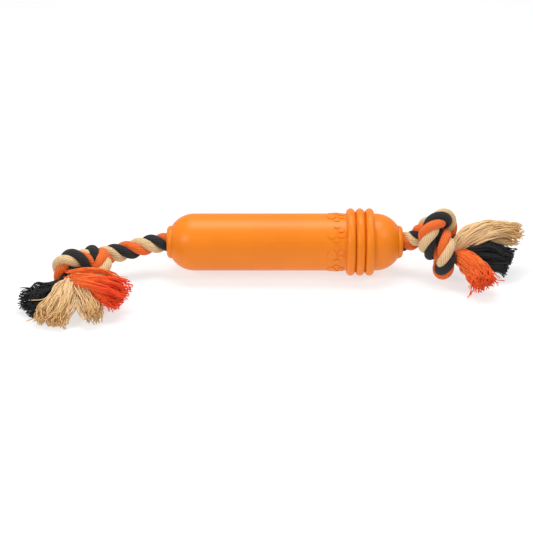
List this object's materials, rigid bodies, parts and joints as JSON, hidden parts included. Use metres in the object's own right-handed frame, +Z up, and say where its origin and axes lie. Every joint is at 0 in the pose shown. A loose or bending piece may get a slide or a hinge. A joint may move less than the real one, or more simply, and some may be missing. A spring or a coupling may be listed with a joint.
{
  "type": "training bumper",
  "caption": "Hollow orange rubber barrel with domed ends and raised ribs, threaded on a thick three-colour laid rope that is knotted and frayed into tassels at each end.",
  "frame": {"origin": "on the floor under the middle of the barrel, as the toy lies on its ribs", "axes": "+X along the barrel towards its ribbed end, +Z up, -Y towards the side where the tassels lie"},
  "size_m": [0.4418, 0.1344, 0.0595],
  "materials": {
    "barrel_rubber": "satin moulded rubber",
    "black_yarn": "loose twisted fibre yarn",
    "tan_yarn": "loose twisted fibre yarn",
    "orange_yarn": "loose twisted fibre yarn",
    "laid_rope": "three strands of different colour laid together"
  },
  "bodies": {
    "rope": {"black_strand": "black_yarn", "tan_strand": "tan_yarn", "orange_strand": "orange_yarn"},
    "barrel": {"barrel": "barrel_rubber"},
    "left_bend": {"left_root": "laid_rope"},
    "left_tail": {"left_rope": "laid_rope", "left_knot": "laid_rope", "left_black_tassel": "black_yarn", "left_tan_tassel": "tan_yarn", "left_orange_tassel": "orange_yarn"},
    "right_bend": {"right_root": "laid_rope"},
    "right_tail": {"right_rope": "laid_rope", "right_knot": "laid_rope", "right_black_tassel": "black_yarn", "right_tan_tassel": "tan_yarn", "right_orange_tassel": "orange_yarn"}
  },
  "joints": [
    {"name": "barrel_spin", "type": "hinge", "parent": "rope", "child": "barrel", "pos_m": [0, 0, 0.0295], "axis": [1, 0, 0], "continuous": true},
    {"name": "left_swing", "type": "hinge", "parent": "rope", "child": "left_bend", "pos_m": [-0.107, 0, 0.0295], "axis": [0, 0, 1], "range_deg": [-35, 35]},
    {"name": "left_lift", "type": "hinge", "parent": "left_bend", "child": "left_tail", "pos_m": [-0.107, 0, 0.0295], "axis": [0, 1, 0], "range_deg": [-35, 35]},
    {"name": "right_swing", "type": "hinge", "parent": "rope", "child": "right_bend", "pos_m": [0.107, 0, 0.0295], "axis": [0, 0, 1], "range_deg": [-35, 35]},
    {"name": "right_lift", "type": "hinge", "parent": "right_bend", "child": "right_tail", "pos_m": [0.107, 0, 0.0295], "axis": [0, -1, 0], "range_deg": [-35, 35]}
  ]
}
